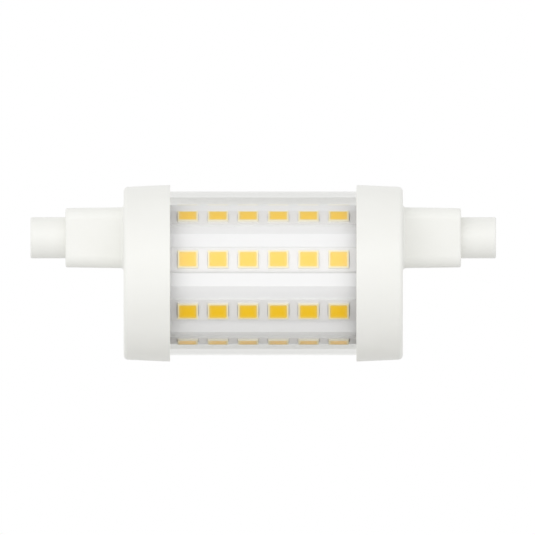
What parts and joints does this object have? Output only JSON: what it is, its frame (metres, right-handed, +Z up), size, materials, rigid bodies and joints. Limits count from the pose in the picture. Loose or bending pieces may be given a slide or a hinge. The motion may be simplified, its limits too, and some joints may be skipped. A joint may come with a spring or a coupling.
{
  "type": "double-ended linear led lamp",
  "caption": "Double-ended linear LED lamp: a clear round cover over an eight-sided core with rows of LEDs, between white end caps with off-centre necks and recessed contacts.",
  "frame": {"origin": "On the axis of the clear cover, midway between the ends of the two noses.", "axes": "+X runs along the lamp to its right end, +Z points up to the side where the necks and noses stand off the axis, and -Y is the front that the picture shows."},
  "size_m": [0.078, 0.0296, 0.0296],
  "materials": {
    "clear_polycarbonate": "clear extruded polycarbonate, smooth and glossy",
    "white_moulding": "white moulded polyester, fine satin texture",
    "white_coated_aluminium": "extruded aluminium with a white coat",
    "white_board": "white solder mask on a circuit board",
    "led_housing": "white moulded housing of an LED package",
    "led_phosphor": "yellow phosphor in clear silicone",
    "nickel_plate": "turned brass with bright nickel plate",
    "polyester_film": "white insulating film",
    "green_board": "green solder mask on a circuit board",
    "capacitor_sleeve": "black shrink sleeve over an aluminium can",
    "ferrite": "dark grey ferrite with a taped winding",
    "resistor_body": "grey-green lacquer over ceramic",
    "black_epoxy": "black moulded epoxy",
    "white_insulation": "white silicone insulation",
    "tinned_copper": "flat copper strip with a tin coat"
  },
  "bodies": {
    "root": {"clear_cover": "clear_polycarbonate", "core": "white_coated_aluminium", "insulating_sleeve": "polyester_film", "driver_board": "green_board", "filter_capacitor": "capacitor_sleeve", "choke": "ferrite", "fuse_resistor": "resistor_body", "rectifier": "black_epoxy", "control_chip": "black_epoxy", "left_end_cap": "white_moulding", "left_end_contact": "nickel_plate", "left_link_board": "white_board", "left_mains_lead": "white_insulation", "left_output_strip": "tinned_copper", "right_end_cap": "white_moulding", "right_end_contact": "nickel_plate", "right_link_board": "white_board", "right_mains_lead": "white_insulation", "right_output_strip": "tinned_copper", "led_board_1": "white_board", "led_housings_1": "led_housing", "led_phosphors_1": "led_phosphor", "led_board_2": "white_board", "led_housings_2": "led_housing", "led_phosphors_2": "led_phosphor", "led_board_3": "white_board", "led_housings_3": "led_housing", "led_phosphors_3": "led_phosphor", "led_board_4": "white_board", "led_housings_4": "led_housing", "led_phosphors_4": "led_phosphor", "led_board_5": "white_board", "led_housings_5": "led_housing", "led_phosphors_5": "led_phosphor", "led_board_6": "white_board", "led_housings_6": "led_housing", "led_phosphors_6": "led_phosphor", "led_board_7": "white_board", "led_housings_7": "led_housing", "led_phosphors_7": "led_phosphor", "led_board_8": "white_board", "led_housings_8": "led_housing", "led_phosphors_8": "led_phosphor"}
  },
  "joints": []
}
